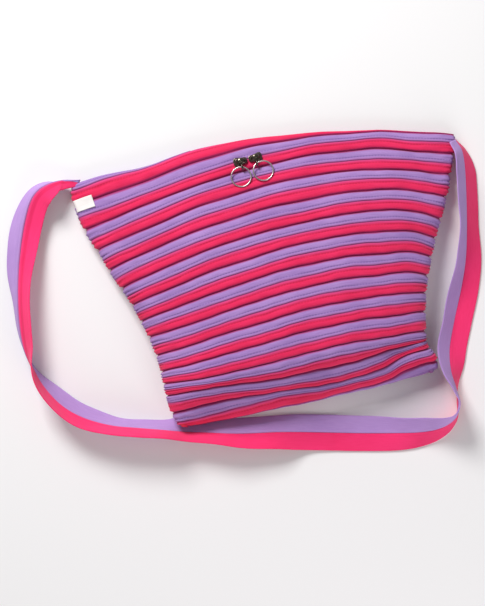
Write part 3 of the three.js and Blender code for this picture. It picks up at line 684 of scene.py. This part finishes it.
def slider_shape():
    """Points and faces of a slider, its length along x, its underside on z = 0."""
    points, faces = [], []

    def put(rings, closed=False):
        rows, columns = rings.shape[:2]
        start = sum(len(p) for p in points)
        points.append(rings.reshape(-1, 3))
        faces.extend(tuple(start + i for i in face) for face in tube_faces(rows, columns, closed))

    upper = SLIDER_SIDE * (SLIDER_END, 1)
    outline = np.concatenate([upper, upper[::-1] * (1, -1)])
    put(rounded_plate(outline, PLATE_HEIGHT, PLATE_EDGE))
    dome = []
    for a in np.linspace(0, DOME["closed"], DOME["steps"]) * math.pi / 2:
        flat = outline * DOME["share"] * math.cos(a) ** DOME["power"]
        dome.append(np.column_stack([flat, np.full(len(flat), DOME["foot"] + DOME["rise"] * math.sin(a))]))
    put(np.array(dome))
    arch = np.linspace(0, math.pi, CROWN["steps"])
    crown = np.column_stack([
        -CROWN["half"] * np.cos(arch), np.zeros(CROWN["steps"]),
        CROWN["foot"] + CROWN["rise"] * np.sin(arch) ** CROWN["power"]])
    put(bent_wire(crown, CROWN_THICK, CROWN_SEGMENTS, False, wide=CROWN_WIDE))
    around = np.linspace(0, 2 * np.pi, EYE_STEPS, endpoint=False)
    eye = np.column_stack([
        np.zeros(EYE_STEPS), EYE_RADIUS * np.cos(around) - EYE_DROP, EYE_RADIUS * np.sin(around) + EYE_LIFT])
    put(bent_wire(eye, EYE_WIRE, EYE_SEGMENTS, True), closed=True)
    tongue = np.linspace(TONGUE_FROM, TONGUE_TO, TONGUE_STEPS)
    put(np.array([[[x, y, base + z] for x, z in TONGUE_SECTION] for y, base in tongue]))
    return np.concatenate(points), faces


gunmetal = metal_material("slider_gunmetal", (0.10, 0.085, 0.07), 0.12, (0.16, 0.13, 0.095))
slider_points, slider_faces = slider_shape()
for side_name, loop_place, nose, _ in PULLS:
    origin, axes = zip_frame(loop_place)
    placed = (slider_points * (nose, 1, 1) + (0, 0, SLIDER_LIFT)) @ axes.T + origin
    slider = add_mesh(f"slider_{side_name}", placed, slider_faces, gunmetal)
    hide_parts(f"zip_slider_{side_name}")

# Pull rings
# Each slider is pulled by a ring of round steel wire, bent, closed and plated with nickel. It hangs in the
# slider's eye and lies down the front of the bag.
RING_RADIUS, RING_WIRE, RING_CLEAR = 8.9, 0.7, 1.9
RING_STEPS, WIRE_SEGMENTS = 96, 16
nickel = metal_material("ring_nickel", (0.54, 0.50, 0.49), 0.22, (0.40, 0.34, 0.32))
around = np.linspace(0, 2 * np.pi, RING_STEPS, endpoint=False)
circle = np.column_stack([
    RING_RADIUS * np.cos(around), RING_RADIUS * np.sin(around) - RING_RADIUS, np.zeros(RING_STEPS)])
wire = bent_wire(circle, RING_WIRE, WIRE_SEGMENTS, True).reshape(-1, 3)
fall = math.asin((EYE_LIFT + SLIDER_LIFT - RING_CLEAR) / (2 * RING_RADIUS))
for side_name, loop_place, _, swing in PULLS:
    origin, axes = zip_frame(loop_place)
    hang = Matrix.Rotation(swing, 3, "Z") @ Matrix.Rotation(fall, 3, "X")
    placed = (wire @ np.array(hang).T + (0, -EYE_DROP, EYE_LIFT + SLIDER_LIFT)) @ axes.T + origin
    ring = add_mesh(f"ring_{side_name}", placed, tube_faces(RING_STEPS, WIRE_SEGMENTS, True), nickel)
    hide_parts(f"pull_ring_{side_name}")

# Side label
# A small label of white woven polyester, sewn on at the bag's left edge, where it lies over the seam
# between the first two turns. It carries no print.
LABEL = {"from": 0.004, "to": 0.0675, "top": 0.855, "bottom": 1.27}  # places round the turn, and turns
LABEL_COLUMNS, LABEL_ROWS = 28, 18
LABEL_THICK = 0.32
LABEL_ROUGH = (0.7, 0.9)
# Height of its underside over the tape's wall, what it sinks between the ribs, what its free end stands up,
# and what its sewn end is drawn down, over a share of its width
LABEL_LIFT, LABEL_SINK, LABEL_FREE = 2.75, 0.35, 0.3
LABEL_DRAWN, LABEL_DRAWN_OVER = 0.7, 0.2


def label_material():
    """White woven polyester, greyer between the yarns."""
    material, tree, shader = new_material("label_woven_white")
    _, _, cloth = lay_weave(tree)
    colour = blend(tree, cloth["Yarn"], (0.88, 0.86, 0.85), (0.74, 0.70, 0.69))
    tree.links.new(colour, shader.inputs["Base Color"])
    tree.links.new(ramp(tree, cloth["Threads"], 0.2, 0.8, *LABEL_ROUGH), shader.inputs["Roughness"])
    bump = node(tree, "Bump", {"Strength": 0.3, "Distance": 0.0002, "Height": cloth["Height"]})
    tree.links.new(bump.outputs[0], shader.inputs["Normal"])
    return material


label_loop = np.linspace(LABEL["from"], LABEL["to"], LABEL_COLUMNS)
label_turn = np.linspace(LABEL["top"], LABEL["bottom"], LABEL_ROWS)
loops, levels = np.meshgrid(label_loop, label_turn, indexing="ij")
label_share = share_of_turn(loops, levels)
label_wall, label_out = wall_point(loops, label_share), wall_normal(loops, label_share)
across_label = (levels - LABEL["top"]) / (LABEL["bottom"] - LABEL["top"])
along_label = (loops - LABEL["from"]) / (LABEL["to"] - LABEL["from"])
lift = TAPE_WALL + LABEL_LIFT - LABEL_SINK * np.sin(np.pi * across_label) + LABEL_FREE * along_label**2
lift = lift - LABEL_DRAWN * np.clip(1 - along_label / LABEL_DRAWN_OVER, 0, 1) ** 2
label_top = label_wall + label_out * (lift + LABEL_THICK)[..., None]
label_under = label_wall + label_out * lift[..., None]
label_rings = np.concatenate([label_top, label_under[:, ::-1]], axis=1)
label_rings = label_rings + unevenness(label_rings)
label_width = travelled(label_top[:, LABEL_ROWS // 2])
label_height = travelled(label_top[LABEL_COLUMNS // 2])
label_uv = chain_uv(label_width, np.concatenate([label_height, label_height[::-1]]))
label_faces = tube_faces(LABEL_COLUMNS, 2 * LABEL_ROWS)
label = add_mesh("label", label_rings.reshape(-1, 3), label_faces, label_material(), label_uv)
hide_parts("side_label")

# Stage
# A plain pale floor under the bag, a soft light from the top left, a weak one from the bottom edge's side
# and an even pale surround.
FLOOR_HALF, FLOOR_Z = 4, -0.0004
SURROUND_STRENGTH = 0.32
floor_mesh = bpy.data.meshes.new("floor")
floor_corners = [(x * FLOOR_HALF, y * FLOOR_HALF, FLOOR_Z) for x, y in ((-1, -1), (1, -1), (1, 1), (-1, 1))]
floor_mesh.from_pydata(floor_corners, [], [(0, 1, 2, 3)])
floor_paint, _, floor_shader = new_material("floor_paint")
floor_shader.inputs["Base Color"].default_value = (0.86, 0.86, 0.87, 1)
floor_shader.inputs["Roughness"].default_value = 0.9
floor_mesh.materials.append(floor_paint)
floor = bpy.data.objects.new("floor", floor_mesh)
scene.collection.objects.link(floor)


def area_light(name, place, size, power, colour):
    """A square light that shines on the bag's middle."""
    light = bpy.data.lights.new(name, "AREA")
    light.size = size
    light.energy = power
    light.color = colour
    made = bpy.data.objects.new(name, light)
    made.location = place
    made.rotation_euler = (-Vector(place)).to_track_quat("-Z", "Y").to_euler()
    scene.collection.objects.link(made)


area_light("key_light", place=(-0.5, 1.22, 1.05), size=0.6, power=29.5, colour=(1, 0.985, 0.97))
area_light("fill_light", place=(0.3, -1.15, 0.5), size=0.8, power=7, colour=(1, 0.95, 0.97))
world = bpy.data.worlds.new("surround")
world.use_nodes = True
world.node_tree.nodes["Background"].inputs["Color"].default_value = (1, 1, 1, 1)
world.node_tree.nodes["Background"].inputs["Strength"].default_value = SURROUND_STRENGTH
scene.world = world
